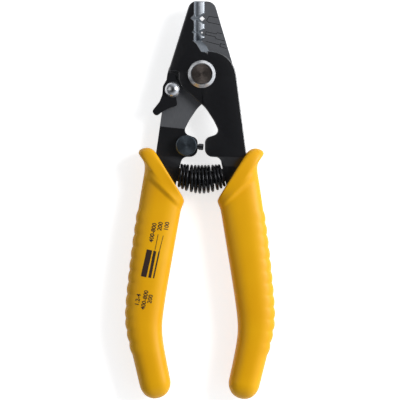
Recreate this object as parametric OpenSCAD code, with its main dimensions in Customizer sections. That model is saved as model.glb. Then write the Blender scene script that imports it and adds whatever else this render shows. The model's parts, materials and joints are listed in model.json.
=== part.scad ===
// Three-hole fibre stripper: two identical stamped halves turned on a bolt, yellow
// moulded grips, a lock lever, a stop screw in a riveted post and a return spring.
// The tool lies flat, jaws towards +Y. Sizes are in millimetres and angles in degrees.

/* [Plates] */
// Thickness of the steel plate that each half is stamped from
plate_t = 3; // [2.5:0.1:3.5]
// Gap between the two plates where one slides on the other
face_gap = 0.06; // [0.04:0.01:0.1]
// Distance from the pivot to the tips of the jaws
head_len = 30.4; // [29:0.2:36]
// Distance from the pivot to the ends of the grips
handle_len = 134.6; // [130:0.1:140]
// Distance from the middle line to the back corner of a jaw's tip
tip_w = 4.9; // [4.4:0.1:6]
// Rounding of a jaw's back corner
tip_r = 3.8; // [2:0.1:4]
// Distance from the middle line to the heel of a jaw
heel_w = 13.8; // [13.3:0.1:15]
// Distance from the pivot to the outer edge of a handle, level with the pivot
hub_w = 14.3; // [13.8:0.1:15]
// Height of the hub's top edge above the pivot
hub_top = 9.3; // [8.5:0.1:10.5]
// Rounding of the hub's top corner
hub_r = 11; // [8:0.5:11]
// Sideways run of a handle's outer edge for each millimetre of its length
handle_flare = 0.136; // [0.126:0.001:0.15]
// Distance that each half leans past the middle line at the crotch
crotch_lap = 1.6; // [1:0.1:2.2]
// Distance below the pivot to the corner of the crotch
crotch_y = 13.8; // [13:0.1:15]
// Rounding of the crotch
crotch_r = 12; // [8:0.5:13]
// Depth of the ground recess that makes the blades' sliding face
ground_depth = 0.12; // [0.05:0.01:0.2]
// Distance below the pivot to the end of the ground face
ground_y = 23.3; // [22.5:0.1:24]
// Slant of the ground face's end
ground_slant = 5.5; // [0:0.5:8]

/* [Blades] */
// Distance that each cutting edge reaches past the middle line
edge_lap = 1.1; // [0.9:0.05:1.4]
// Distance from the pivot to the lower end of the hollow-ground blade
blade_root = 13.7; // [13:0.1:14.5]
// Distance from the middle line to the top of the blade's hollow
hollow_w = 3.4; // [3:0.1:4]
// Steel left at the back of the hollow
hollow_back_t = 1.4; // [1:0.1:1.7]
// Steel left at the front of the hollow
hollow_front_t = 0.7; // [0.5:0.1:0.9]
// Steel left at the cutting edge
edge_t = 0.15; // [0.1:0.05:0.3]
// Width of the small bevel at the cutting edge
edge_bevel = 0.6; // [0.4:0.1:0.8]
// Angle of the bevelled heel below the blade, from the length of the tool
heel_cut_angle = 32; // [28:1:36]
// Width of that bevel
heel_cut_w = 3.3; // [3:0.1:3.6]
// Distance from the pivot to the jacket notch
jacket_notch_y = 23.2; // [22:0.1:24.4]
// Depth of the jacket notch past the middle line
jacket_notch_depth = 1.1; // [0.8:0.05:1.5]
// Distance from the pivot to the buffer notch
buffer_notch_y = 17.4; // [16.8:0.1:18.4]
// Depth of the buffer notch past the middle line
buffer_notch_depth = 0.45; // [0.3:0.05:0.6]
// Distance from the pivot to the coating notch
coating_notch_y = 13.9; // [13.6:0.1:14.6]
// Depth of the coating notch past the middle line
coating_notch_depth = 0.12; // [0.06:0.02:0.2]
// Half of the angle between a notch's sides
notch_half_angle = 42.8; // [40:0.2:45]
// Lean of the relief behind each notch
notch_relief = 51.7; // [46:0.2:54]

/* [Pivot] */
// Diameter of the pivot bolt's shank
bolt_d = 6; // [5:0.1:6.6]
// Diameter of the bolt's head
bolt_head_d = 8.3; // [7.8:0.1:8.8]
// Height of the bolt's head
bolt_head_h = 0.85; // [0.6:0.05:0.9]
// Outer diameter of the bright ring round the head
ring_d = 11.45; // [11:0.05:12.5]
// Height of that ring
ring_h = 1.5; // [1.3:0.1:1.8]
// Width of the ring's chamfer
ring_chamfer = 1.2; // [0.8:0.1:1.25]
// Thickness of the split washer behind the rear half
split_washer_t = 0.7; // [0.5:0.1:0.8]
// Outer diameter of the split washer
split_washer_d = 10.4; // [9.8:0.1:11]
// Width across the nut's flats
nut_af = 9.6; // [9:0.1:10]
// Height of the nut
nut_h = 2.2; // [1.8:0.1:2.4]
// Length of bolt that stands out of the nut
bolt_end = 0.3; // [0.1:0.1:0.4]
// Clearance of a turning or sliding fit, on each side
run_gap = 0.04; // [0.03:0.01:0.08]
// Clearance of a fixed fit, on each side
seat_gap = 0.02; // [0.01:0.01:0.03]

/* [Lock] */
// Distance to the left from the tool's pivot to the lock lever's rivet
lock_left = 12.05; // [11.9:0.05:12.2]
// Distance below the tool's pivot to that rivet
lock_down = 6.43; // [6.33:0.05:6.63]
// Height of the catch that the lever props, above the pivot
catch_y = 1; // [0.8:0.1:1.4]
// Distance from the middle line to the wall of the catch
catch_w = 9.6; // [9.4:0.1:9.8]
// Length of the lever's arm above its rivet
arm_len = 6.8; // [6.4:0.1:7]
// Width of the lever's arm near its end
arm_w = 3.6; // [3.2:0.1:3.8]
// Rounding of the arm's inner corner
arm_r = 1.6; // [1.2:0.1:1.8]
// Distance from the rivet to the lever's inner side
boss_r = 3.1; // [2.8:0.1:3.3]
// Distance from the rivet to the lever's outer side
back_r = 4.2; // [3.8:0.1:4.4]
// Distance from the rivet down to the lever's heel
heel_drop = 7.5; // [6.8:0.1:8]
// Thickness of the lock lever
lever_t = 2.3; // [1.8:0.1:2.5]
// Distance from the rivet to the end of the thumb hook
hook_reach = 11.2; // [10:0.1:11.5]
// Diameter of the rivet's shank
lock_rivet_d = 3; // [2.6:0.1:3.4]
// Diameter of the rivet's domed head
dome_d = 6.6; // [6:0.1:7]
// Height of the domed head
dome_h = 2.3; // [1.8:0.1:2.6]
// Diameter of the friction washer under the lever
lock_washer_d = 6.2; // [5.6:0.1:6.4]
// Thickness of that washer
lock_washer_t = 0.3; // [0.2:0.05:0.4]

/* [Stop] */
// Distance to the left from the tool's pivot to the stop post
post_left = 6.2; // [6:0.1:6.8]
// Distance from the top of the stop lobe down to the post's centre
post_inset = 3.1; // [2.6:0.1:3.3]
// Diameter of the stop post
post_d = 8.6; // [8:0.1:9]
// Height of the post above the rear half
post_h = 3.6; // [3.4:0.1:4.4]
// Diameter of the spigot that is riveted through the rear half
post_spigot_d = 4.4; // [3.8:0.1:5]
// Diameter of the stop screw's thread and tip
screw_d = 2.7; // [2.4:0.1:2.8]
// Diameter of the screw's neck
screw_neck_d = 2.1; // [1.8:0.1:2.3]
// Slant of the screw
screw_slant = 4.4; // [3:0.1:5]
// Gap between the screw's tip and the stop face of the front half
stop_gap = 0.55; // [0.4:0.05:0.7]
// Distance from the middle line to the stop face of a half
stop_face = 1.5; // [1.3:0.1:1.9]
// Distance below the pivot to the top of the stop lobe
lobe_top = 26.5; // [25.8:0.1:27]
// Height of the stop lobe
lobe_h = 7.7; // [7.5:0.1:8.4]

/* [Return spring] */
// Distance from the bottom of the stop lobe down to the axis of the spring
spring_drop = 8.5; // [8.3:0.1:9.2]
// Angle from the middle line to each spring seat
seat_angle = 12.9; // [12.6:0.1:13.1]
// Diameter of the spring wire
wire_d = 1.2; // [1:0.05:1.22]
// Outside diameter of the spring at its ends
spring_end_d = 9.7; // [9.4:0.1:9.9]
// Outside diameter of the spring at its middle
spring_mid_d = 12.2; // [11:0.1:12.4]
// Distance that the middle of the spring bows away from the pivot
spring_bow = 0.8; // [0:0.1:1.2]
// Number of closed turns at each end
closed_turns = 2.25; // [1.25:0.5:2.25]
// Number of open turns
open_turns = 7; // [6:1:8]
// Width of the tab inside each end of the spring
tab_w = 5.5; // [5:0.1:5.8]
// Length of that tab
tab_len = 7.2; // [5.5:0.1:7.6]

/* [Grips] */
// Distance from the end of a grip up to its bend
bend_inset = 31.6; // [28:0.1:34]
// Plastic on the outer side of the tang at the collar
wall_out_top = 3.7; // [3.3:0.1:4.2]
// Plastic on the outer side of the tang at the bend
wall_out_bend = 3.1; // [2.8:0.1:3.8]
// Extra plastic on the outer side half way between them
belly = 0.7; // [0.4:0.1:1.2]
// Plastic on the inner side of the tang
wall_in = 4; // [3.8:0.1:4.6]
// Distance from the middle line to the centre of a grip's end
grip_end_x = 18.5; // [17.5:0.1:19.5]
// Width of a grip near its end
grip_end_w = 13.1; // [12:0.1:14]
// Thickness of a grip at its palm swell and at its collar
grip_t = 13; // [13:0.1:14.5]
// Depth of the dip in each face below the collar
dip_depth = 0.8; // [0.4:0.1:1.2]
// Flare of the collar's outer corner
flare = 3.6; // [2:0.1:3.8]
// Number of finger scallops on the outer side
scallops = 12; // [9:1:12]
// Spacing of the scallops
scallop_pitch = 4.98; // [4.4:0.02:5]
// Depth of a scallop
scallop_depth = 0.5; // [0.2:0.05:0.8]
// Length of grip below the end of the tang
tang_inset = 22.5; // [18:0.5:26]
// Width of the tang's end
tang_end_w = 7.3; // [6:0.1:8]

/* [Hidden] */
$fn = 64;

black_steel = "#1c1e22";
bright_steel = "#c4c7cb";
yellow = "#f2b51d";

over = 1;                                  // how far each cutter reaches past what it cuts
lock_at = [-lock_left, -lock_down];
lobe_bottom = lobe_top + lobe_h;
post_at = [-post_left, -lobe_top - post_inset];
spring_reach = lobe_bottom + spring_drop;  // from the pivot to the axis of the spring
grip_bend = handle_len - bend_inset;       // from the pivot to the bend in a grip
face = face_gap / 2;                       // sliding face of the front half
unground = face - ground_depth;            // its face below the ground recess
front = face + plate_t;                    // outer face of the front half
joggle_y = lobe_bottom - 0.1;                // where the plates start to bend to the middle plane
joggle_len = 4.2;                          // length of that bend
notch_floor = 8.1;                         // distance of the gap above the tab from the middle line
shoulder = spring_end_d / 2 + 0.05;        // half of the width of a spring shoulder
grip_rise = 20.1;                          // height of that edge's outer end above the inner
collar_len = 3.6;                          // length of the collar on its inner side
tang_fit = 0.05;                           // room round the tang inside its grip

// ---- General shapes -------------------------------------------------------------------

function unit(v) = v / norm(v);
function polar(r, a) = [r * cos(a), r * sin(a)];

// Outline through corners [x, y, radius], each corner turned into an arc of that radius
function rounded(corners, steps = 6) = [
    for (i = [0 : len(corners) - 1])
        let (n = len(corners), c = corners[i], p = [c.x, c.y], r = c[2],
             a = corners[(i + n - 1) % n], b = corners[(i + 1) % n])
        if (r == 0) p
        else
            let (u = unit([a.x, a.y] - p), v = unit([b.x, b.y] - p),
                 half = acos(u * v) / 2,
                 centre = p + unit(u + v) * r / sin(half),
                 s = p + u * r / tan(half) - centre,
                 e = p + v * r / tan(half) - centre,
                 start = atan2(s.y, s.x),
                 turn = (atan2(e.y, e.x) - start + 540) % 360 - 180)
            each [for (k = [0 : steps]) centre + polar(r, start + turn * k / steps)]
];

// Closed solid through rings of points, all rings with the same number of points
module loft(rings) {
    n = len(rings[0]);
    last = len(rings) - 1;
    polyhedron(
        points = [for (ring = rings) each ring],
        faces = [
            [for (i = [0 : n - 1]) i],
            for (k = [0 : last - 1], i = [0 : n - 1])
                let (a = k * n + i, b = k * n + (i + 1) % n)
                each [[a, a + n, b + n], [a, b + n, b]],
            [for (i = [n - 1 : -1 : 0]) last * n + i]
        ]);
}

// The rear half and its pieces are the front ones turned over about the tool's length
module turned_over() { rotate([0, 180, 0]) children(); }

// The tool lies on the lower sides of its grips, with its middle over the origin
module in_place() {
    translate([0, (handle_len - head_len) / 2, grip_t / 2]) children();
}

// ---- The stamped half -----------------------------------------------------------------

// Spring seat of the front half: its centre, the way along the spring and the way outwards
seat_out = [sin(seat_angle), -cos(seat_angle)];
seat_in = [-cos(seat_angle), -sin(seat_angle)];
seat = spring_reach * seat_out;
shoulder_low = seat + shoulder * seat_out;
shoulder_top = seat - shoulder * seat_out;
collar_gap = 5.4;                          // from the spring's shoulder down to the collar
grip_corner = [shoulder_low.x - wall_in + 0.5, shoulder_low.y - collar_gap];

// Outer edge of a handle, and the inner edge of its tang, at a height y
function handle_edge(y) = hub_w - handle_flare * y;
tang_bend = [handle_edge(-grip_bend) - tang_end_w - 1.6, -grip_bend + 6];
function tang_edge(y) = shoulder_low.x
    + (tang_bend.x - shoulder_low.x) * (y - shoulder_low.y) / (tang_bend.y - shoulder_low.y);
tang_end_y = tang_inset - handle_len;
tang_end_x = tang_edge(-grip_bend) + (tang_end_y + grip_bend) * 0.15;

// Tang outline from the shoulder down and back up, wider by g on each side
function tang_corners(g) = [
    [shoulder_low.x - g, shoulder_low.y - g, 0],
    [tang_bend.x - g, tang_bend.y, 30],
    [tang_end_x - g, tang_end_y - g, 2],
    [tang_end_x + tang_end_w + g, tang_end_y - g, 2],
    [handle_edge(-grip_bend + 5) + g, -grip_bend + 5, 30]
];

module half_outline() {
    tab = [seat + tab_w / 2 * seat_out, seat - tab_w / 2 * seat_out];
    catch_wall = 3.4;                      // height of the catch's wall
    lobe_w = 6.2;                          // width of the lobe, measured from its stop face
    polygon(rounded([
        [edge_lap, head_len, 0],
        [-tip_w, head_len, tip_r],
        [-heel_w, catch_y + 0.2, 0.9],
        [-catch_w, catch_y, 0.7],
        [-catch_w, catch_y - catch_wall, 0.9],
        [-catch_w + 1.3, catch_y - catch_wall - 2.7, 2.5],
        [crotch_lap, -crotch_y, crotch_r],
        [crotch_lap + 3.4, -crotch_y - 5.1, 16],
        [stop_face + lobe_w, -lobe_top + 2.1, 2.2],
        [stop_face, -lobe_top, 2.6],
        [stop_face, -lobe_bottom, 3.2],
        [notch_floor, -lobe_bottom, 2.7],
        [shoulder_top.x, shoulder_top.y, 0],
        [tab[1].x, tab[1].y, 0],
        [tab[1].x + tab_len * seat_in.x, tab[1].y + tab_len * seat_in.y, 0.8],
        [tab[0].x + tab_len * seat_in.x, tab[0].y + tab_len * seat_in.y, 0.8],
        [tab[0].x, tab[0].y, 0],
        each tang_corners(0),
        [handle_edge(hub_top - 0.2), hub_top - 0.2, hub_r],
        [3, hub_top + 0.3, 0.4],
        [edge_lap, blade_root - 0.2, 0.5]
    ]));
}

// Side profile of a plate, thicker by g on each face: flat head, a joggle, and a tang
// in the middle plane
module plate_profile(g) {
    low = -handle_len;
    mid = plate_t / 2 + g;
    polygon([
        [head_len + over, unground - g], [head_len + over, front + g],
        [-joggle_y, front + g], [-joggle_y - joggle_len, mid], [low, mid],
        [low, -mid], [-joggle_y - joggle_len, -mid], [-joggle_y, unground - g]
    ]);
}
module along_plate(g) {
    rotate([90, 0, 90]) linear_extrude(6 * hub_w, center = true) plate_profile(g);
}

// Hollow ground into the outer face along the cutting edge
module blade_hollow() {
    translate([0, head_len + over, face])
        rotate([90, 0, 0])
            linear_extrude(head_len + over - blade_root)
                polygon([
                    [-hollow_w, plate_t], [-hollow_w + 1, hollow_back_t],
                    [edge_lap - edge_bevel, hollow_front_t], [edge_lap, edge_t],
                    [edge_lap + 2, edge_t], [edge_lap + 2, plate_t + over],
                    [-hollow_w, plate_t + over]
                ]);
}

// Bevel across the heel of the blade, from the hollow down to the hub
module heel_bevel() {
    intersection() {
        translate([-hollow_w + 0.2, blade_root + 0.2, face])
            rotate([90, 0, heel_cut_angle])
                linear_extrude(4 * heel_cut_w, center = true)
                    polygon([
                        [0, plate_t], [heel_cut_w, 2 * edge_t], [3 * heel_cut_w, 2 * edge_t],
                        [3 * heel_cut_w, plate_t + over], [0, plate_t + over]
                    ]);
        translate([-hollow_w - over, hub_top, -over])
            cube([3 * heel_cut_w, blade_root - hub_top + 0.01, plate_t + 3 * over]);
    }
}

// V-shaped notch whose root leans back through the plate from the sliding face
module stripping_notch(y, depth) {
    reach = 4;
    spread = reach * tan(notch_half_angle) / cos(notch_relief);
    translate([-depth, y, face])
        rotate([0, -notch_relief, 0])
            translate([0, 0, -plate_t * 2])
                linear_extrude(plate_t * 6)
                    polygon([[0, 0], [reach, -spread], [reach, spread]]);
}

// Shallow recess that leaves the sliding face ground
module ground_recess() {
    length = ground_y + 2 * head_len;
    translate([0, -ground_y, face - plate_t])
        rotate([0, 0, ground_slant])
            translate([-3 * hub_w, 0, 0])
                cube([6 * hub_w, length, plate_t]);
}

module half_blank() {
    difference() {
        intersection() {
            translate([0, 0, -plate_t])
                linear_extrude(3 * plate_t) half_outline();
            along_plate(0);
        }
        ground_recess();
        blade_hollow();
        heel_bevel();
        stripping_notch(jacket_notch_y, jacket_notch_depth);
        stripping_notch(buffer_notch_y, buffer_notch_depth);
        stripping_notch(coating_notch_y, coating_notch_depth);
    }
}

module front_half() {
    color(black_steel) in_place() difference() {
        half_blank();
        translate([0, 0, -over]) cylinder(d = bolt_d + 2 * run_gap, h = front + 2 * over);
    }
}

module rear_half() {
    color(black_steel) in_place() difference() {
        turned_over() half_blank();
        translate([0, 0, -front - over]) cylinder(d = bolt_d + 2 * seat_gap, h = front + 2 * over);
        translate([lock_at.x, lock_at.y, -front - over])
            cylinder(d = lock_rivet_d + 2 * seat_gap, h = front + 2 * over);
        translate([post_at.x, post_at.y, -front - over])
            cylinder(d = post_spigot_d + 2 * seat_gap, h = front + 2 * over);
    }
}

// ---- Grips ----------------------------------------------------------------------------

function softmin(a, b, k) = (a + b - sqrt((a - b) * (a - b) + k * k)) / 2;
function along(p, q, y) = p.x + (q.x - p.x) * (y - p.y) / (q.y - p.y);
function bell(d, w) = exp(-(d * d) / (w * w));

// The collar's outer corner is a quarter of an ellipse about this centre
lip_y = grip_corner.y + grip_rise - 0.9;
lip_w = 3.5;
lip_h = 2.1;
lip_turn = 155;
grip_end_y = 6 - handle_len;

// Inner and outer sides of the right-hand grip at a height y
function grip_inner(y) = softmin(
    tang_edge(y) - wall_in,
    along([tang_edge(-grip_bend - 3) - wall_in, -grip_bend - 3],
          [grip_end_x - grip_end_w / 2, grip_end_y], y), 2.6)
    - 0.7 * bell(y - grip_corner.y + 1, 2.2);
belly_top = grip_corner.y + 11;
function belly_share(y) = let (u = (belly_top - y) / (belly_top + grip_bend)) max(0, 4 * u * (1 - u));
function grip_outer_plain(y) = softmin(
    handle_edge(y) + along([wall_out_top, belly_top], [wall_out_bend, -grip_bend], y)
        + belly * belly_share(y),
    along([handle_edge(-grip_bend) + wall_out_bend, -grip_bend],
          [grip_end_x + grip_end_w / 2, grip_end_y], y), 1.6)
    + flare * bell(y - lip_y - 0.5, 3.6);

// Wave of the finger scallops, 0 outside their run
scallop_end = -grip_bend - 13.2;
scallop_start = scallop_end + scallops * scallop_pitch;
function scallop(y) = y > scallop_start || y < scallop_end ? 0
    : scallop_depth * (1 - cos(360 * (scallop_start - y) / scallop_pitch)) / 2;
function grip_outer(y) = grip_outer_plain(y) + scallop(y);

// Half thickness at a distance d below the collar's front edge: collar, dip, swell, taper
function grip_half_t(d) = grip_t / 2
    - dip_depth * (1 - bell(min(0, collar_len - d), 0.8)) * bell(max(0, d - collar_len), 26)
    - 0.7 * pow(max(0, d - 55) / 30, 2);

// Ribs run from the inner to the outer side. They start along the slanted collar and turn
// level at the bend. A rib's ends are drawn in by e for the rounded rim and the rounded end.
turn_len = 36;
lip_len = 2.2;
end_lean = 3;                              // drop of the last rib towards the outer side
function ramp(u) = let (v = min(1, max(0, u))) v * v * (3 - 2 * v);
function rib_rise(d) = (lip_y - grip_corner.y + lip_len)
    * pow(max(0, 1 - (d - lip_len) / turn_len), 1.5)
    - end_lean * ramp((d - grip_len + 32) / 32);
function lip_end(d) = [grip_outer(lip_y) - lip_w, lip_y]
    + [lip_w * cos(lip_turn * (1 - d / lip_len)), lip_h * sin(lip_turn * (1 - d / lip_len))];
function rib_ring(d, shrink, sides) =
    let (y_in = grip_corner.y - d, y_out = y_in + rib_rise(d),
         p = [grip_inner(y_in), y_in], q = d < lip_len ? lip_end(d) : [grip_outer(y_out), y_out],
         mid = (p + q) / 2, arm = (q - p) / 2 * shrink, h = grip_half_t(d) * shrink)
    [for (i = [0 : sides - 1])
        let (a = 360 * i / sides, c = cos(a), s = sin(a), n = 2 / 2.7,
             u = sign(c) * pow(abs(c), n), w = sign(s) * pow(abs(s), n))
        [mid.x + arm.x * u, mid.y + arm.y * u, h * w]];

grip_len = handle_len + grip_corner.y - 0.563 * end_lean;  // length of a grip on its inner side
end_round = 6.5;                             // length of the rounded end
rim = 0.8;                                 // rounding of the collar's front rim
function end_shrink(s) = pow(max(0, 1 - pow(1 - s / end_round, 2.1)), 1 / 2.1);

module grip() {
    sides = 20;
    body_end = grip_len - end_round;
    step = scallop_pitch / 4;
    top = 8;
    body = [for (d = [top : step : body_end - step / 2]) d];
    loft([
        rib_ring(0, 0.9, sides),
        rib_ring(rim / 3, 0.965, sides),
        for (d = [rim : rim / 2 : 2 * rim]) rib_ring(d, 1, sides),
        for (d = [lip_len : rim : top - rim / 2]) rib_ring(d, 1, sides),
        for (d = body) rib_ring(d, 1, sides),
        for (a = [90 : -10 : 10])
            let (s = end_round * (1 - cos(a)))
            rib_ring(grip_len - s, end_shrink(s), sides),
        rib_ring(grip_len - 0.02, end_shrink(0.02), sides)
    ]);
}

// Room for the plate and its tang, open at the collar
module tang_room() {
    top_y = grip_corner.y + grip_rise + 2 * over;
    intersection() {
        translate([0, 0, -plate_t])
            linear_extrude(3 * plate_t)
                polygon(rounded([
                    [shoulder_low.x - 6, top_y, 0],
                    each tang_corners(tang_fit),
                    [handle_edge(top_y) + tang_fit, top_y, 0]
                ]));
        along_plate(tang_fit);
    }
}

module right_grip() {
    color(yellow) in_place() difference() {
        grip();
        tang_room();
    }
}

module left_grip() {
    color(yellow) in_place() turned_over() difference() {
        grip();
        tang_room();
    }
}

// ---- Pivot ----------------------------------------------------------------------------

ring_z = front + run_gap;                  // underside of the bright ring
head_z = ring_z + ring_h - bolt_head_h - 0.05;
washer_z = -front - split_washer_t;
nut_z = washer_z - nut_h;

module pivot_bolt() {
    bevel = 0.3;
    low = nut_z - bolt_end;
    color(black_steel) in_place() rotate_extrude()
        polygon([
            [0, low], [bolt_d / 2 - bevel, low], [bolt_d / 2, low + bevel],
            [bolt_d / 2, head_z], [bolt_head_d / 2, head_z],
            [bolt_head_d / 2, head_z + bolt_head_h - bevel / 2],
            [bolt_head_d / 2 - bevel / 2, head_z + bolt_head_h], [0, head_z + bolt_head_h]
        ]);
}

module pivot_ring() {
    bore = bolt_d / 2 + seat_gap;
    seat_r = bolt_head_d / 2 + seat_gap;
    top_r = max(seat_r + 0.1, ring_d / 2 - ring_chamfer);
    color(bright_steel) in_place() translate([0, 0, ring_z]) rotate_extrude()
        polygon([
            [bore, 0], [ring_d / 2, 0], [ring_d / 2, ring_h - ring_chamfer],
            [top_r, ring_h], [seat_r, ring_h], [seat_r, head_z - ring_z],
            [bore, head_z - ring_z]
        ]);
}

module split_washer() {
    slot = 0.8;
    color(black_steel) in_place() translate([0, 0, washer_z]) difference() {
        cylinder(d = split_washer_d, h = split_washer_t);
        translate([0, 0, -over]) cylinder(d = bolt_d + 2 * seat_gap, h = split_washer_t + 2 * over);
        translate([0, -slot / 2, -over]) cube([split_washer_d, slot, split_washer_t + 2 * over]);
    }
}

module pivot_nut() {
    corner = nut_af / cos(30) / 2;
    bevel = corner - nut_af / 2;
    color(black_steel) in_place() translate([0, 0, nut_z]) difference() {
        intersection() {
            cylinder(r = corner, h = nut_h, $fn = 6);
            rotate_extrude()
                polygon([
                    [0, 0], [nut_af / 2, 0], [corner, bevel * 0.6],
                    [corner, nut_h], [0, nut_h]
                ]);
        }
        translate([0, 0, -over]) cylinder(d = bolt_d + 2 * seat_gap, h = nut_h + 2 * over);
    }
}

// ---- Lock -----------------------------------------------------------------------------

lever_z = -face + lock_washer_t + run_gap;
dome_z = lever_z + lever_t + run_gap;

// Lever outline about its rivet: prop arm upwards, thumb hook down and outwards
module lever_outline() {
    hook = polar(hook_reach, 228);
    arm_x = -boss_r + 1.2;                 // outer side of the arm
    polygon(rounded([
        [arm_x + arm_w, arm_len, arm_r],
        [arm_x, arm_len, 0.3],
        [arm_x - 0.6, arm_len - 2.8, 2],
        [-back_r + 0.2, back_r / 3, 2],
        [-back_r, -back_r / 2, 3],
        [-back_r - 1.1, -back_r - 0.8, 2],
        [hook.x - 1, hook.y - 0.8, 1.2],
        [hook.x + 0.8, hook.y - 2.9, 1.3],
        [-back_r, -heel_drop - 1.7, 2],
        [-back_r / 4, -heel_drop, 3],
        [boss_r * 2 / 3, -heel_drop + 0.9, 1],
        [boss_r / 2, -boss_r, 1.5],
        [boss_r, -boss_r / 3, 1.2],
        [boss_r, boss_r / 2, 1.5],
        [arm_x + arm_w - 0.5, arm_len - 2.2, 1.5]
    ]));
}

module lock_lever() {
    color(black_steel) in_place() translate([lock_at.x, lock_at.y, lever_z]) difference() {
        linear_extrude(lever_t) lever_outline();
        translate([0, 0, -over]) cylinder(d = lock_rivet_d + 2 * run_gap, h = lever_t + 2 * over);
    }
}

module lock_rivet() {
    tail_h = 0.8;
    tail_d = lock_rivet_d + 2;
    dome_r = (dome_d * dome_d / 4 + dome_h * dome_h) / (2 * dome_h);
    rise = acos(1 - dome_h / dome_r);
    color(bright_steel) in_place() translate([lock_at.x, lock_at.y, 0]) rotate_extrude()
        polygon([
            [0, -front - tail_h], [tail_d / 2 - 0.5, -front - tail_h],
            [tail_d / 2, -front], [lock_rivet_d / 2, -front], [lock_rivet_d / 2, dome_z],
            for (a = [rise : -rise / 10 : rise / 20])
                [dome_r * sin(a), dome_z + dome_h - dome_r * (1 - cos(a))],
            [0, dome_z + dome_h]
        ]);
}

module lock_washer() {
    color(bright_steel) in_place() translate([lock_at.x, lock_at.y, -face]) difference() {
        cylinder(d = lock_washer_d, h = lock_washer_t);
        translate([0, 0, -over]) cylinder(d = lock_rivet_d + 2 * seat_gap, h = lock_washer_t + 2 * over);
    }
}

// ---- Stop -----------------------------------------------------------------------------

screw_z = face + plate_t / 2;
screw_tip_x = stop_face - stop_gap;
screw_back = post_d / 2 - 0.4;             // how far the screw reaches behind the post's axis
screw_len = (screw_tip_x - post_at.x) / cos(screw_slant) + screw_back;

// Places a shape drawn along +Z on the stop screw, its start at the back of the post
module along_screw() {
    translate([post_at.x, post_at.y, screw_z])
        rotate([0, 90, -screw_slant])
            translate([0, 0, -screw_back])
                children();
}

module stop_post() {
    bevel = 0.35;
    color(black_steel) in_place() difference() {
        translate([post_at.x, post_at.y, 0]) rotate_extrude()
            polygon([
                [0, -front], [post_spigot_d / 2, -front], [post_spigot_d / 2, -unground],
                [post_d / 2, -unground], [post_d / 2, post_h - bevel],
                [post_d / 2 - bevel, post_h], [0, post_h]
            ]);
        along_screw() translate([0, 0, -over])
            cylinder(d = screw_d + 2 * seat_gap, h = post_d + 2 * over);
    }
}

module stop_screw() {
    tip = 2;
    neck = 1.1;
    bevel = 0.3;
    socket_af = 1.3;
    socket_deep = 1.5;
    color(black_steel) in_place() along_screw() difference() {
        rotate_extrude()
            polygon([
                [0, 0], [screw_d / 2 - bevel, 0], [screw_d / 2, bevel],
                [screw_d / 2, screw_len - tip - neck - bevel],
                [screw_neck_d / 2, screw_len - tip - neck], [screw_neck_d / 2, screw_len - tip],
                [screw_d / 2, screw_len - tip + bevel / 2], [screw_d / 2, screw_len - bevel],
                [screw_d / 2 - bevel, screw_len], [0, screw_len]
            ]);
        translate([0, 0, -over])
            cylinder(d = socket_af / cos(30), h = socket_deep + over, $fn = 6);
    }
}

// ---- Return spring --------------------------------------------------------------------

turns = 2 * closed_turns + open_turns;
seat_room = wire_d / 2 + 0.08;             // from a shoulder to the first turn's centre
half_span = seat_angle - atan(seat_room / spring_reach);
closed_pitch = atan((wire_d + 0.06) / (spring_reach - spring_end_d / 2 + wire_d / 2));
closed_span = closed_turns * closed_pitch;
wide_share = 1.25;                         // the turn beside each closed end is wider by this
open_pitch = (2 * half_span - 2 * closed_span) / (open_turns + 2 * (wide_share - 1));

// Angle about the pivot that the wire has reached after t turns
function coil_angle(t) = lookup(t, [
    [0, -half_span],
    [closed_turns, -half_span + closed_span],
    [closed_turns + 1, -half_span + closed_span + wide_share * open_pitch],
    [turns - closed_turns - 1, half_span - closed_span - wide_share * open_pitch],
    [turns - closed_turns, half_span - closed_span],
    [turns, half_span]
]);
function coil_swell(t) = sin(180 * t / turns);
function coil_radius(t) = (spring_end_d + (spring_mid_d - spring_end_d) * coil_swell(t) - wire_d) / 2;
function wire_point(t) =
    let (a = coil_angle(t), out = [sin(a), -cos(a), 0], r = coil_radius(t), phi = 360 * t)
    (spring_reach + spring_bow * coil_swell(t) - r * cos(phi)) * out + [0, 0, r * sin(phi)];

module return_spring() {
    per_turn = 18;
    sides = 8;
    steps = round(turns * per_turn);
    color(black_steel) in_place() loft([
        for (k = [0 : steps])
            let (t = turns * k / steps, a = coil_angle(t), phi = 360 * t,
                 p = wire_point(t), way = unit(wire_point(t + 0.01) - wire_point(t - 0.01)),
                 side = [-sin(a) * cos(phi), cos(a) * cos(phi), sin(phi)],
                 up = unit(cross(way, side)), out = cross(up, way))
            [for (i = [0 : sides - 1])
                let (b = 360 * (i + 0.5) / sides)
                p + wire_d / 2 * (cos(b) * out + sin(b) * up)]
    ]);
}

rear_half();
front_half();
left_grip();
right_grip();
pivot_bolt();
pivot_ring();
split_washer();
pivot_nut();
lock_lever();
lock_rivet();
lock_washer();
stop_post();
stop_screw();
return_spring();
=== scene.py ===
"""Dresses the packed fibre stripper: blackened steel halves, yellow moulded grips, bright pivot ring,
lock, stop post and return spring. It follows the tool as it is put together. Blender works in metres
in the row's frame. Sizes are written in millimetres and multiplied by mm."""
import math

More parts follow.
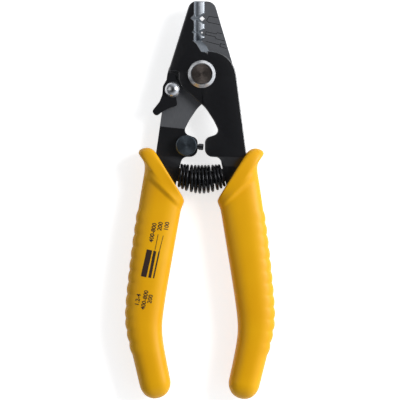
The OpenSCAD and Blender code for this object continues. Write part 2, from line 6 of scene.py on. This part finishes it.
import bpy
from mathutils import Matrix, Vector
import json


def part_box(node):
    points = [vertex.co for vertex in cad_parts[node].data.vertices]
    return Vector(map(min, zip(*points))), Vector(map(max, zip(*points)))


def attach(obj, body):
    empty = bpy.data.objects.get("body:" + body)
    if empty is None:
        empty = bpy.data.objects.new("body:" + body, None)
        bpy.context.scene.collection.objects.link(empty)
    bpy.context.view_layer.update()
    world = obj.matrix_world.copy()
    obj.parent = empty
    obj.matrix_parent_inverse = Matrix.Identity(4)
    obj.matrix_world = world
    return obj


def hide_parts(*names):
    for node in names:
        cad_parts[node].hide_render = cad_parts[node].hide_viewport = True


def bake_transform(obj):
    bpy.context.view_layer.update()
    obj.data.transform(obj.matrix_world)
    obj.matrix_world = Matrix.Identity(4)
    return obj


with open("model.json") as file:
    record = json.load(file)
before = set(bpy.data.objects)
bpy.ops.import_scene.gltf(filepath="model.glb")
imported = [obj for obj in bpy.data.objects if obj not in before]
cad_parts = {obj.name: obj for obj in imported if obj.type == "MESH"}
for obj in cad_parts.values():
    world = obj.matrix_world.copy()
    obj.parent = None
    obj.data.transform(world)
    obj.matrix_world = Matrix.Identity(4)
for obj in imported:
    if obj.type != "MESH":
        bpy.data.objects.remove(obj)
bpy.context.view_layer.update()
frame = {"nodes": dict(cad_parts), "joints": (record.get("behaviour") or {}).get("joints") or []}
nodes = frame["nodes"]
mm = 0.001
pivot = Vector(frame["joints"][0]["pos_m"])


# ---- The two stamped halves ----------------------------------------------------------------------
# Each half is a 3 mm plate of tool steel, blanked, hollow-ground along its blade and blackened in a
# hot oxide bath. The faces that slide on each other and the blade are ground afterwards, so they are
# bare steel. Tumbling has rounded the blanked edges.

def linear(colour):
    """A colour written as an sRGB hex value, in the linear values that the shaders take."""
    parts = [int(colour[i:i + 2], 16) / 255 for i in (1, 3, 5)]
    return [c / 12.92 if c <= 0.04045 else ((c + 0.055) / 1.055) ** 2.4 for c in parts] + [1.0]


def add(tree, kind, inputs=None, **settings):
    """Adds a shader node with its settings, and gives its sockets their values or the outputs they take."""
    made = tree.nodes.new("ShaderNode" + kind)
    for name, value in settings.items():
        setattr(made, name, value)
    for socket, value in (inputs or {}).items():
        if isinstance(value, bpy.types.NodeSocket):
            tree.links.new(value, made.inputs[socket])
        else:
            made.inputs[socket].default_value = value
    return made


def new_material(name):
    """An empty material and its node tree."""
    material = bpy.data.materials.new(name)
    material.use_nodes = True
    material.node_tree.nodes.clear()
    return material, material.node_tree


def finish(tree, shader):
    """Joins a shader to the material's output."""
    add(tree, "OutputMaterial", {"Surface": shader.outputs[0]})


def black_oxide_tone(tree, place):
    """Black magnetite skin, faintly mottled where the bath took unevenly."""
    mottle = add(tree, "TexNoise", {"Vector": place, "Scale": 1 / (1.6 * mm), "Detail": 4.0})
    tone = add(tree, "ValToRGB", {"Fac": mottle.outputs["Fac"]})
    tone.color_ramp.elements[0].position = 0.35
    tone.color_ramp.elements[0].color = linear("#050509")
    tone.color_ramp.elements[1].position = 0.7
    tone.color_ramp.elements[1].color = linear("#0B0C12")
    return tone.outputs["Color"]


# Black oxide over tumbled steel: nearly black, satin, with a fine grain from the tumbling. Magnetite's
# high index makes the rounded edges catch the light.
black_oxide, tree = new_material("black_oxide_steel")
place = add(tree, "TexCoord").outputs["Object"]
tumble = add(tree, "TexNoise", {"Vector": place, "Scale": 1 / (0.22 * mm), "Detail": 2.0})
grit = add(tree, "Bump", {"Height": tumble.outputs["Fac"], "Strength": 0.12, "Distance": 0.02 * mm})
finish(tree, add(tree, "BsdfPrincipled", {
    "Base Color": black_oxide_tone(tree, place), "Roughness": 0.28, "IOR": 2.1,
    "Normal": grit.outputs[0]}))

# The halves: the same oxide, with bare steel where it is ground away. A place is on the sliding face
# when it lies there and is level, and in the blade's hollow when it is sunk, tilted and past the hub.
# The hollow's bare steel carries painted light and shade that follows its tilt.
plates, tree = new_material("ground_and_blackened_plate")
place = add(tree, "TexCoord").outputs["Object"]
apart = add(tree, "SeparateXYZ", {"Vector": place})
facing = add(tree, "SeparateXYZ", {"Vector": add(tree, "NewGeometry").outputs["True Normal"]})
height = add(tree, "Math", {0: apart.outputs["Z"], 1: pivot.z}, operation="SUBTRACT")
depth = add(tree, "Math", {0: height.outputs[0]}, operation="ABSOLUTE")
up = add(tree, "Math", {0: facing.outputs["Z"]}, operation="ABSOLUTE")
sliding = add(tree, "Math", {0: depth.outputs[0], 1: 0.03 * mm, 2: 0.03 * mm}, operation="COMPARE")
flat = add(tree, "Math", {0: up.outputs[0], 1: 0.9}, operation="GREATER_THAN")
ground_face = add(tree, "Math", {0: sliding.outputs[0], 1: flat.outputs[0]}, operation="MULTIPLY")
sunk = add(tree, "Math", {0: depth.outputs[0], 1: 1.5 * mm, 2: 1.4 * mm}, operation="COMPARE")
tilted = add(tree, "Math", {0: up.outputs[0], 1: 0.3}, operation="GREATER_THAN")
above = add(tree, "Math", {0: apart.outputs["Y"], 1: pivot.y + 9.0 * mm}, operation="GREATER_THAN")
hollow = add(tree, "Math", {0: sunk.outputs[0], 1: tilted.outputs[0]}, operation="MULTIPLY")
hollow = add(tree, "Math", {0: hollow.outputs[0], 1: above.outputs[0]}, operation="MULTIPLY")
# The hollow's walls, its heel bevel and its floor, told apart by how steep they are, with painted light
# and shade by that tilt: the steep walls are painted lightest, the heel bevel a middle tone, the floor
# dark.
hollow_painted_shade = add(tree, "ValToRGB", {"Fac": up.outputs[0]})
hollow_painted_shade.color_ramp.interpolation = "CONSTANT"
hollow_painted_shade.color_ramp.elements[0].color = linear("#6E757D")
hollow_painted_shade.color_ramp.elements[1].position = 0.62
hollow_painted_shade.color_ramp.elements[1].color = linear("#596067")
hollow_painted_shade.color_ramp.elements.new(0.9).color = linear("#2A323C")
# Grinding lines along the tool.
lines = add(tree, "Mapping", {"Vector": place, "Scale": (1.0, 0.05, 1.0)})
scratches = add(tree, "TexNoise", {"Vector": lines.outputs[0], "Scale": 1 / (0.12 * mm), "Detail": 3.0})
ground_tone = add(tree, "ValToRGB", {"Fac": scratches.outputs["Fac"]})
ground_tone.color_ramp.elements[0].position = 0.3
ground_tone.color_ramp.elements[0].color = linear("#77787C")
ground_tone.color_ramp.elements[1].position = 0.7
ground_tone.color_ramp.elements[1].color = linear("#888A8E")
with_face = add(tree, "Mix", {0: ground_face.outputs[0], 6: black_oxide_tone(tree, place),
                              7: ground_tone.outputs["Color"]}, data_type="RGBA")
# The hollow takes its painted light and shade over the oxide and the ground face.
with_shaded_blade = add(tree, "Mix", {0: hollow.outputs[0], 6: with_face.outputs[2],
                               7: hollow_painted_shade.outputs["Color"]}, data_type="RGBA")
bare = add(tree, "Math", {0: ground_face.outputs[0], 1: hollow.outputs[0]}, operation="MAXIMUM")
metal = add(tree, "Math", {0: bare.outputs[0], 1: 0.5}, operation="MULTIPLY")
grit = add(tree, "Bump", {"Height": scratches.outputs["Fac"], "Strength": 0.1, "Distance": 0.02 * mm})
finish(tree, add(tree, "BsdfPrincipled", {
    "Base Color": with_shaded_blade.outputs[2], "Roughness": 0.28, "IOR": 2.1, "Metallic": metal.outputs[0],
    "Normal": grit.outputs[0]}))


def dress(name, material):
    """Gives a node of the frame its finish."""
    nodes[name].data.materials.clear()
    nodes[name].data.materials.append(material)


def deselect():
    """Leaves nothing selected, so that an operator acts on the next piece alone."""
    if bpy.context.object and bpy.context.object.mode == "EDIT":
        bpy.ops.object.mode_set(mode="OBJECT")
    bpy.ops.object.select_all(action="DESELECT")


def rounded_copy(node, name, body, material, round_off, faces_up):
    """A copy of a stamped node with its blanked edges rounded where a face meets the cut wall."""
    deselect()
    piece = nodes[node].copy()
    piece.data = nodes[node].data.copy()
    piece.name = name
    piece.parent = None
    for key in list(piece.keys()):
        del piece[key]
    bpy.context.scene.collection.objects.link(piece)
    bpy.context.view_layer.objects.active = piece
    piece.select_set(True)
    piece.data.materials.clear()
    piece.data.materials.append(material)
    bpy.ops.object.mode_set(mode="EDIT")
    bpy.ops.mesh.select_all(action="SELECT")
    bpy.ops.mesh.customdata_custom_splitnormals_clear()
    bpy.ops.mesh.remove_doubles(threshold=0.001 * mm)
    bpy.ops.mesh.dissolve_limited(angle_limit=math.radians(1))
    bpy.ops.mesh.select_all(action="DESELECT")
    bpy.ops.object.mode_set(mode="OBJECT")
    # Only the edges between a level face and an upright wall, on the tool's outer side, are rounded.
    beside = {}
    for face in piece.data.polygons:
        for pair in face.edge_keys:
            beside.setdefault(pair, []).append(face.normal.copy())
    for edge in piece.data.edges:
        normals = beside.get(tuple(sorted(edge.vertices)), [])
        if len(normals) == 2:
            tilts = sorted(abs(n.z) for n in normals)
            top = max(normals, key=lambda n: abs(n.z))
            edge.select = tilts[0] < 0.05 and tilts[1] > 0.9 and (top.z > 0) == faces_up
    bpy.ops.object.mode_set(mode="EDIT")
    bpy.ops.mesh.select_mode(type="EDGE")
    bpy.ops.mesh.bevel(offset=round_off, offset_type="OFFSET", segments=4, profile=0.5,
                       clamp_overlap=False)
    bpy.ops.mesh.select_all(action="SELECT")
    bpy.ops.mesh.quads_convert_to_tris()
    bpy.ops.object.mode_set(mode="OBJECT")
    bpy.ops.object.shade_smooth_by_angle(angle=math.radians(32))
    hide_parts(node)
    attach(piece, body)


round_off = 0.45 * mm
rounded_copy("front_half", "front_plate", "front", plates, round_off, True)
rounded_copy("rear_half", "rear_plate", "rear", plates, round_off, False)


# ---- Pivot ---------------------------------------------------------------------------------------
# A turned bolt holds the halves. Its head sits in a bright chamfered ring, and a split washer and a
# nut close it at the back. The head's face keeps the fine rings of the facing cut.

def turned_steel(name, colour, centre, pitch, rough, metallic=1.0, depth=0.02 * mm):
    """Steel faced on a lathe: fine rings about a centre, which draw its shine into a fan."""
    material, tree = new_material(name)
    place = add(tree, "TexCoord").outputs["Object"]
    out = add(tree, "Mapping", {"Vector": place, "Location": (-centre.x, -centre.y, 0.0)})
    level = add(tree, "VectorMath", {0: out.outputs[0], 1: (1.0, 1.0, 0.0)}, operation="MULTIPLY")
    radius = add(tree, "VectorMath", {0: level.outputs[0]}, operation="LENGTH")
    turns = add(tree, "Math", {0: radius.outputs["Value"], 1: 2 * math.pi / pitch}, operation="MULTIPLY")
    rings = add(tree, "Math", {0: turns.outputs[0]}, operation="SINE")
    stain = add(tree, "TexNoise", {"Vector": place, "Scale": 1 / (0.9 * mm), "Detail": 3.0})
    tone = add(tree, "ValToRGB", {"Fac": stain.outputs["Fac"]})
    tone.color_ramp.elements[0].position = 0.3
    tone.color_ramp.elements[0].color = [c * 0.75 for c in linear(colour)[:3]] + [1.0]
    tone.color_ramp.elements[1].position = 0.7
    tone.color_ramp.elements[1].color = linear(colour)
    cut = add(tree, "Bump", {"Height": rings.outputs[0], "Strength": 0.35, "Distance": depth})
    around = add(tree, "VectorMath", {0: level.outputs[0], 1: (0.0, 0.0, 1.0)}, operation="CROSS_PRODUCT")
    finish(tree, add(tree, "BsdfPrincipled", {
        "Base Color": tone.outputs["Color"], "Roughness": rough, "Metallic": metallic,
        "Normal": cut.outputs[0], "Anisotropic": 0.7, "Tangent": around.outputs[0]}))
    return material


# The bolt's rings are drawn twice as wide as they are cut, so that they show. The ring is polished.
bolt_steel = turned_steel("turned_bolt_steel", "#857B75", pivot, 0.6 * mm, 0.34, depth=0.05 * mm)
ring_steel = turned_steel("bright_turned_steel", "#DCDDDF", pivot, 0.3 * mm, 0.28, depth=0.002 * mm)
dress("pivot_bolt", bolt_steel)
dress("pivot_ring", ring_steel)
dress("split_washer", black_oxide)
dress("pivot_nut", black_oxide)


# ---- Lock ----------------------------------------------------------------------------------------
# A stamped lever turns on a domed rivet, with a thin washer under it for friction. The dome is nickel
# plated and polished.

dress("lock_lever", black_oxide)

# Polished nickel: mirrors the room, softly.
plated, tree = new_material("polished_nickel_plate")
finish(tree, add(tree, "BsdfPrincipled", {
    "Base Color": linear("#C9CACD"), "Roughness": 0.24, "Metallic": 1.0}))
dress("lock_rivet", plated)
dress("lock_washer", plated)


# ---- Stop ----------------------------------------------------------------------------------------
# A turned post is riveted to the rear half and carries the screw that sets how far the blades close.
# Both are blackened, and the post's end keeps the marks of the lathe.

post_low, post_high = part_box("stop_post")
post_centre = (post_low + post_high) / 2
post_steel = turned_steel("turned_black_post", "#5A636B", post_centre, 0.3 * mm, 0.36, 0.9)
dress("stop_post", post_steel)
dress("stop_screw", black_oxide)


# ---- Return spring -------------------------------------------------------------------------------
# Music wire wound in a barrel between the two shoulders, black and lightly oiled. Its ends are close
# wound. It is swept along its path, which the coil's turns work out, and bends between the halves.

# Oiled wire: black with a gloss, and cloudy where the oil is thin.
wire, tree = new_material("oiled_music_wire")
place = add(tree, "TexCoord").outputs["Object"]
film = add(tree, "TexNoise", {"Vector": place, "Scale": 1 / (1.2 * mm), "Detail": 2.0})
tone = add(tree, "ValToRGB", {"Fac": film.outputs["Fac"]})
tone.color_ramp.elements[0].color = linear("#08090B")
tone.color_ramp.elements[1].color = linear("#1A1B1F")
finish(tree, add(tree, "BsdfPrincipled", {
    "Base Color": tone.outputs["Color"], "Roughness": 0.2, "Metallic": 0.6}))

turns = 11.5
closed_turns = 2.25
wire_d = 1.2
coil_reach = 42.7                                  # from the pivot to the coil's axis
coil_bow = 0.8                                     # the axis sags away from the pivot by this much
coil_end_r = (9.7 - wire_d) / 2
coil_mid_r = (12.2 - wire_d) / 2
half_span = 11.99                                  # degrees, from the middle to the wire's end
closed_pitch = 1.852                               # degrees for each close-wound turn
wide_share = 1.25                                  # the turn beside them is wider by this
open_span = half_span - closed_turns * closed_pitch
open_pitch = 2 * open_span / (turns - 2 * closed_turns + 2 * (wide_share - 1))


def coil_angle(t):
    """Degrees about the pivot, from the middle, that the wire has reached after t turns."""
    side = t - turns / 2
    run = abs(side)
    closed_from = turns / 2 - closed_turns
    wide_from = closed_from - 1
    angle = open_pitch * min(run, wide_from)
    angle += wide_share * open_pitch * max(0, min(run, closed_from) - wide_from)
    angle += closed_pitch * max(0, run - closed_from)
    return math.copysign(angle, side)


def coil_point(t):
    """Centre of the wire after t turns, in the row's frame."""
    angle = math.radians(coil_angle(t))
    swell = math.sin(math.pi * t / turns)
    radius = coil_end_r + (coil_mid_r - coil_end_r) * swell
    out = Vector((math.sin(angle), -math.cos(angle), 0))
    reach = coil_reach + coil_bow * swell - radius * math.cos(math.tau * t)
    return pivot + mm * (reach * out + Vector((0, 0, radius * math.sin(math.tau * t))))


steps = 330
path = bpy.data.curves.new("coil", "CURVE")
path.dimensions = "3D"
path.bevel_depth = wire_d / 2 * mm
path.bevel_resolution = 3
path.use_fill_caps = True
line = path.splines.new("POLY")
line.points.add(steps)
for k, point in enumerate(line.points):
    point.co = (*coil_point(turns * k / steps), 1.0)
coil = bpy.data.objects.new("coil_spring", path)
bpy.context.scene.collection.objects.link(coil)
deselect()
bpy.context.view_layer.objects.active = coil
coil.select_set(True)
bpy.ops.object.convert(target="MESH")
bpy.ops.object.shade_smooth_by_angle(angle=math.radians(40))
coil.data.materials.clear()
coil.data.materials.append(wire)
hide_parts("return_spring")
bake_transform(coil)


# ---- Grips ---------------------------------------------------------------------------------------
# Soft yellow thermoplastic moulded over the tangs: a raised slanted collar, a smooth body and finger
# ribs outside. Rings run across it, slanted like the collar, and are skinned into one closed mesh.

# Moulded soft plastic: satin, with a fine skin and a slight cloud in the colour.
grip_yellow, tree = new_material("moulded_soft_plastic")
place = add(tree, "TexCoord").outputs["Object"]
skin = add(tree, "TexNoise", {"Vector": place, "Scale": 1 / (0.5 * mm), "Detail": 3.0})
cloud = add(tree, "TexNoise", {"Vector": place, "Scale": 1 / (14 * mm), "Detail": 2.0})
tone = add(tree, "ValToRGB", {"Fac": cloud.outputs["Fac"]})
tone.color_ramp.elements[0].position = 0.3
tone.color_ramp.elements[0].color = linear("#F2AE00")
tone.color_ramp.elements[1].position = 0.7
tone.color_ramp.elements[1].color = linear("#F7B604")
grain = add(tree, "Bump", {"Height": skin.outputs["Fac"], "Strength": 0.08, "Distance": 0.03 * mm})
finish(tree, add(tree, "BsdfPrincipled", {
    "Base Color": tone.outputs["Color"], "Roughness": 0.45, "Specular IOR Level": 0.3,
    "Normal": grain.outputs[0]}))

# Millimetres from the pivot, for the right-hand grip. The left-hand one is the same, turned over.
shoulder = Vector((10.63, -46.40))                 # the plate's corner under the spring
tang_bend = Vector((19.41, -97.0))
collar = Vector((7.13, -51.80))                    # inner end of the collar's front edge
collar_rise = 20.1
wall_in = 4.0                                      # plastic inside the tang
wall_out_top = 3.7                                 # plastic outside it, at the top and at the bend
wall_out_bend = 3.1
bend_y = -103.0
end_y = -128.6
end_in_x = 11.95                                   # the two sides at the grip's end
end_out_x = 25.05
grip_len = 81.11
half_t = 6.5                                       # half the thickness
lip_y = collar.y + collar_rise - 0.9
lip_len = 2.2
belly_top = collar.y + 11
lip_w = 3.5                                        # the collar's outer corner, part of an ellipse
lip_h = 2.1
lip_turn = 155                                     # degrees of it
lip_flare = 3.6
belly = 0.7
ribs = 12
rib_pitch = 4.98
rib_h = 0.5
rib_end = bend_y - 13.2
rib_start = rib_end + ribs * rib_pitch
end_round = 6.5
end_curve = 2.1                                    # power of the rounded end
end_lean = 3.0                                     # drop of the last ring towards the outer side
ring_gap = 0.4
corner_power = 2 / 2.7                             # power of a ring's superellipse
dip_depth = 0.95
ridge_low = Vector((7.13, -56.4))                  # the collar's back border, and its direction
ridge_way = Vector((1.0, 0.93)).normalized()


def soft_min(a, b, blend):
    """The smaller of two values, with the crossing rounded."""
    return (a + b - math.hypot(a - b, blend)) / 2


def ramp(u):
    """An S-shaped step from 0 to 1."""
    v = min(1.0, max(0.0, u))
    return v * v * (3 - 2 * v)


def bell(d, width):
    """A bump of height 1 that dies away over a width."""
    return math.exp(-(d / width) ** 2)


def along(x0, y0, x1, y1, y):
    """The x of the line through two points, at a height y."""
    return x0 + (x1 - x0) * (y - y0) / (y1 - y0)


def handle_edge(y):
    """The steel handle's outer edge."""
    return 14.3 - 0.136 * y


def tang_edge(y):
    """The steel tang's inner edge."""
    return along(*shoulder, *tang_bend, y)


def inner_side(y):
    """The grip's inner outline."""
    low_y = bend_y - 3
    tail = along(tang_edge(low_y) - wall_in, low_y, end_in_x, end_y, y)
    return soft_min(tang_edge(y) - wall_in, tail, 2.6) - 0.7 * bell(y - collar.y + 1, 2.2)


def outer_side(y):
    """The grip's outer outline without its finger ribs."""
    share = (belly_top - y) / (belly_top - bend_y)
    swell = belly * max(0.0, 4 * share * (1 - share))
    body = handle_edge(y) + along(wall_out_top, belly_top, wall_out_bend, bend_y, y) + swell
    tail = along(handle_edge(bend_y) + wall_out_bend, bend_y, end_out_x, end_y, y)
    return soft_min(body, tail, 1.6) + lip_flare * bell(y - lip_y - 0.5, lip_flare)


def rib(y):
    """Height of the finger ribs: round backs, sharp valleys."""
    if not rib_end < y < rib_start:
        return 0.0
    return rib_h * abs(math.sin(math.pi * (rib_start - y) / rib_pitch)) ** 0.8


def half_thickness(x, y, d):
    """Half the grip's thickness: a raised collar, a dip behind it, a swell and a tapered end."""
    behind = (x - ridge_low.x) * ridge_way.y - (y - ridge_low.y) * ridge_way.x
    dip = dip_depth * ramp(behind / 2.2 + 0.5) * bell(max(0.0, behind - 2), 20)
    return half_t - dip - 0.7 * max(0.0, (d - 55) / 30) ** 2


def grip_ring(d, shrink, sides):
    """One closed ring of the grip, at a distance d down its inner side."""
    fall = end_lean * ramp((d - grip_len + 32) / 32)
    rise = (lip_y - collar.y + lip_len) * max(0.0, 1 - (d - lip_len) / 36) ** 1.5 - fall
    y_in = collar.y - d
    inner = Vector((inner_side(y_in), y_in))
    outer = Vector((outer_side(y_in + rise), y_in + rise))
    if d < lip_len:
        turn = math.radians(lip_turn * (1 - d / lip_len))
        out_x = outer_side(lip_y) - lip_w + lip_w * math.cos(turn)
        outer = Vector((out_x, lip_y + lip_h * math.sin(turn)))
    middle = (inner + outer) / 2
    arm = (outer - inner) / 2 * shrink
    ring = []
    for k in range(sides):
        c, s = math.cos(math.tau * k / sides), math.sin(math.tau * k / sides)
        u = math.copysign(abs(c) ** corner_power, c)
        w = math.copysign(abs(s) ** corner_power, s)
        x, y = middle + arm * u
        x += rib(y) * ramp((u - 0.35) / 0.6) * shrink
        ring.append((x, y, half_thickness(x, y, d) * w * shrink))
    return ring


def moulded_grip(name, node, flip, body):
    """Skins the rings into one closed mesh. flip is -1 for the left hand, turned over about Y."""
    sides = 64
    front_turns = [math.radians(turn) for turn in range(90, -1, -15)]
    rings = [grip_ring(0.8 * (1 - math.sin(a)), 0.86 + 0.14 * math.cos(a), sides) for a in front_turns]
    d = 1.0
    while d < grip_len - end_round:
        rings.append(grip_ring(d, 1.0, sides))
        d += ring_gap
    for turn in range(90, 0, -5):
        s = end_round * (1 - math.cos(math.radians(turn)))
        shrink = (1 - (1 - s / end_round) ** end_curve) ** (1 / end_curve)
        rings.append(grip_ring(grip_len - s, shrink, sides))
    points = [pivot + mm * Vector((flip * x, y, flip * z)) for ring in rings for x, y, z in ring]
    faces = []
    for r in range(len(rings) - 1):
        for k in range(sides):
            here, beyond = r * sides, (r + 1) * sides
            after = (k + 1) % sides
            faces.append((here + k, here + after, beyond + after, beyond + k))
    faces += [tuple(range(sides))[::-1], tuple(range(len(points) - sides, len(points)))]
    mesh = bpy.data.meshes.new(name)
    mesh.from_pydata(points, [], faces)
    piece = bpy.data.objects.new(name, mesh)
    bpy.context.scene.collection.objects.link(piece)
    mesh.materials.append(grip_yellow)
    deselect()
    bpy.context.view_layer.objects.active = piece
    piece.select_set(True)
    bpy.ops.object.mode_set(mode="EDIT")
    bpy.ops.mesh.select_all(action="SELECT")
    bpy.ops.mesh.normals_make_consistent(inside=False)
    bpy.ops.object.mode_set(mode="OBJECT")
    bpy.ops.object.shade_smooth_by_angle(angle=math.radians(50))
    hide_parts(node)
    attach(piece, body)
    return piece


left_moulding = moulded_grip("left_moulding", "left_grip", -1, "rear")
moulded_grip("right_moulding", "right_grip", 1, "front")


# ---- Printing ------------------------------------------------------------------------------------
# The left grip carries pad-printed dark brown marks: bars of three widths, with plain numbers at both
# ends of them. The rear jaw has the outlines of three cable ends etched beside the notches.

def ink_material(name, colour, rough):
    """A thin flat coat, slightly uneven where it was laid thin."""
    material, tree = new_material(name)
    place = add(tree, "TexCoord").outputs["Object"]
    thin = add(tree, "TexNoise", {"Vector": place, "Scale": 1 / (0.4 * mm), "Detail": 2.0})
    tone = add(tree, "ValToRGB", {"Fac": thin.outputs["Fac"]})
    tone.color_ramp.elements[0].color = linear(colour)
    tone.color_ramp.elements[1].color = [min(1.0, c * 1.6 + 0.004) for c in linear(colour)[:3]] + [1.0]
    finish(tree, add(tree, "BsdfPrincipled", {"Base Color": tone.outputs["Color"], "Roughness": rough}))
    return material


# Pad ink is brown-black and satin. The etched lines are dull and grey-black.
pad_ink = ink_material("pad_printing_ink", "#2A1A12", 0.5)
etched = ink_material("etched_steel_line", "#1A1B1E", 0.6)
lean = math.radians(79)                            # the numbers climb the grip at this angle
ink_lift = 0.05 * mm
cap_share = 0.7                                    # a numeral's height, as a share of the type size


def lay_on_grip(piece):
    """Drops flat print on the grip's upper side and gives it its ink."""
    for vertex in piece.data.vertices:
        over = vertex.co.copy()
        over.z = pivot.z + 20 * mm
        hit, spot, _, _ = left_moulding.ray_cast(over, Vector((0, 0, -1)))
        if hit:
            vertex.co = spot + Vector((0, 0, ink_lift))
    piece.data.materials.clear()
    piece.data.materials.append(pad_ink)
    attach(piece, "rear")


def printed_bar(name, low, high, width):
    """A straight printed bar between two places, millimetres from the pivot."""
    deselect()
    low, high = Vector(low), Vector(high)
    bpy.ops.mesh.primitive_grid_add(x_subdivisions=3, y_subdivisions=24, size=1.0)
    bar = bpy.context.object
    bar.name = name
    middle = (low + high) / 2
    bar.scale = (width * mm, (high - low).length * mm, 1)
    bar.rotation_euler.z = math.atan2(high.y - low.y, high.x - low.x) - math.pi / 2
    bar.location = pivot + mm * Vector((middle.x, middle.y, 0))
    bpy.ops.object.transform_apply(location=True, rotation=True, scale=True)
    lay_on_grip(bar)


def printed_number(name, words, start, height):
    """Printed numbers that start at a place and climb the grip."""
    deselect()
    bpy.ops.object.text_add()
    text = bpy.context.object
    text.name = name
    text.data.body = words
    text.data.size = height * mm / cap_share
    text.data.offset = 0.05 * mm
    bpy.ops.object.convert(target="MESH")
    bpy.ops.object.mode_set(mode="EDIT")
    bpy.ops.mesh.select_all(action="SELECT")
    bpy.ops.mesh.quads_convert_to_tris()
    bpy.ops.mesh.subdivide(number_cuts=2)
    bpy.ops.object.mode_set(mode="OBJECT")
    text.rotation_euler.z = lean
    text.location = pivot + mm * Vector((start[0], start[1], 0))
    bpy.ops.object.transform_apply(location=True, rotation=True, scale=True)
    lay_on_grip(text)


printed_bar("thick_bar", (-23.4, -83.9), (-21.0, -72.8), 2.3)
printed_bar("medium_bar", (-20.9, -84.3), (-18.8, -73.3), 1.2)
printed_bar("thin_bar", (-19.3, -84.5), (-17.0, -73.4), 0.55)
printed_bar("medium_lead", (-18.9, -73.6), (-17.5, -66.4), 0.22)
printed_bar("thin_lead", (-17.0, -73.6), (-15.4, -66.9), 0.22)
printed_number("upper_number_1", "400-800", (-19.7, -69.8), 1.7)
printed_number("upper_number_2", "200", (-16.3, -65.0), 1.7)
printed_number("upper_number_3", "100", (-13.6, -65.0), 1.7)
printed_number("lower_number_1", "1.2-4", (-25.4, -96.0), 1.7)
printed_number("lower_number_2", "400-800", (-22.9, -97.6), 1.7)
printed_number("lower_number_3", "200", (-20.2, -95.0), 1.7)


etch_w = 0.28
etch_z = -0.022                                    # just proud of the rear half's sliding face


def etched_line(name, corners):
    """A line etched on the rear jaw's ground face through corners, millimetres from the pivot."""
    corners = [Vector(c) for c in corners]
    points, faces = [], []
    for start, end in zip(corners, corners[1:]):
        way = (end - start).normalized()
        side = Vector((-way.y, way.x)) * etch_w / 2
        reach = way * etch_w / 2
        quad = (start - reach - side, end + reach - side, end + reach + side, start - reach + side)
        faces.append(tuple(range(len(points), len(points) + 4)))
        points += [pivot + mm * Vector((p.x, p.y, etch_z)) for p in quad]
    mesh = bpy.data.meshes.new(name)
    mesh.from_pydata(points, [], faces)
    piece = bpy.data.objects.new(name, mesh)
    bpy.context.scene.collection.objects.link(piece)
    mesh.materials.append(etched)
    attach(piece, "rear")


etched_line("cable_end_1", [(6.6, 23.6), (2.9, 24.2), (1.9, 22.5), (2.7, 21.7), (7.2, 20.8)])
etched_line("cable_end_2", [(8.4, 17.0), (6.35, 17.4), (5.85, 16.9), (1.66, 17.8), (1.5, 16.6),
                            (5.5, 15.7), (5.85, 14.9), (9.2, 14.1)])
etched_line("cable_end_3", [(1.7, 13.8), (7.5, 12.3)])
etched_line("cable_end_3_jacket", [(9.7, 12.5), (7.7, 12.9), (7.5, 11.7), (10.1, 10.9)])


# ---- Bench, lamps and camera ---------------------------------------------------------------------
# A white sweep under a large soft lamp from the right and a weak fill, seen from straight above.

deselect()
bpy.ops.mesh.primitive_plane_add(size=3.0, location=(0, 0, 0))
floor = bpy.context.object
floor.name = "floor"
floor_white, tree = new_material("white_sweep")
seen = add(tree, "LightPath")
cloth = add(tree, "BsdfDiffuse", {"Color": linear("#E8E8E8")})
direct = add(tree, "Math", {0: seen.outputs["Is Camera Ray"], 1: seen.outputs["Is Glossy Ray"]},
             operation="MAXIMUM")
direct = add(tree, "Math", {0: direct.outputs[0], 1: seen.outputs["Is Transmission Ray"]},
             operation="MAXIMUM")
# With the lamps' own share this just reaches white, so that the tool's shadow stays on the sweep.
glow_strength = add(tree, "Math", {0: direct.outputs[0], 1: 0.7}, operation="MULTIPLY")
glow = add(tree, "Emission", {"Color": linear("#FFFFFF"), "Strength": glow_strength.outputs[0]})
finish(tree, add(tree, "AddShader", {0: cloth.outputs[0], 1: glow.outputs[0]}))
floor.data.materials.append(floor_white)

world = bpy.data.worlds.new("studio")
bpy.context.scene.world = world
world.use_nodes = True
tree = world.node_tree
tree.nodes.clear()
ray = add(tree, "SeparateXYZ", {"Vector": add(tree, "TexCoord").outputs["Generated"]})
# The room is dark overhead, so that the black plates stay black, and lighter to the right.
overhead = add(tree, "MapRange", {"Value": ray.outputs["Z"], "From Min": 0.9, "From Max": 0.5,
                                  "To Min": 0.03, "To Max": 1.0})
sideways = add(tree, "MapRange", {"Value": ray.outputs["X"], "From Min": -0.6, "From Max": 0.8,
                                  "To Min": 0.16, "To Max": 1.15})
level = add(tree, "Math", {0: overhead.outputs[0], 1: sideways.outputs[0]}, operation="MULTIPLY")
air = add(tree, "Background", {"Color": linear("#F4F8FF"), "Strength": level.outputs[0]})
add(tree, "OutputWorld", {"Surface": air.outputs[0]})


def lamp(name, place, size, power):
    """A soft square lamp that faces the tool."""
    light = bpy.data.lights.new(name, "AREA")
    light.size = size
    light.energy = power
    body = bpy.data.objects.new(name, light)
    bpy.context.scene.collection.objects.link(body)
    body.location = place
    body.rotation_euler = Vector(place).to_track_quat("Z", "Y").to_euler()


lamp("key", (0.85, 0.3, 0.6), 0.5, 9.0)
lamp("fill", (-0.7, 0.2, 0.8), 0.8, 1.5)

# The tool lies a little turned and off the middle of the frame.
camera_data = bpy.data.cameras.new("camera")
camera_data.lens = 200
camera_data.sensor_width = 36
camera = bpy.data.objects.new("camera", camera_data)
bpy.context.scene.collection.objects.link(camera)
frame_side = 166.1 * mm
away = frame_side * camera_data.lens / camera_data.sensor_width
camera.location = (-0.35 * mm, 0.0, pivot.z + away)
camera.rotation_euler = (0, 0, math.radians(0.39))
bpy.context.scene.camera = camera
bpy.context.scene.view_settings.view_transform = "Standard"
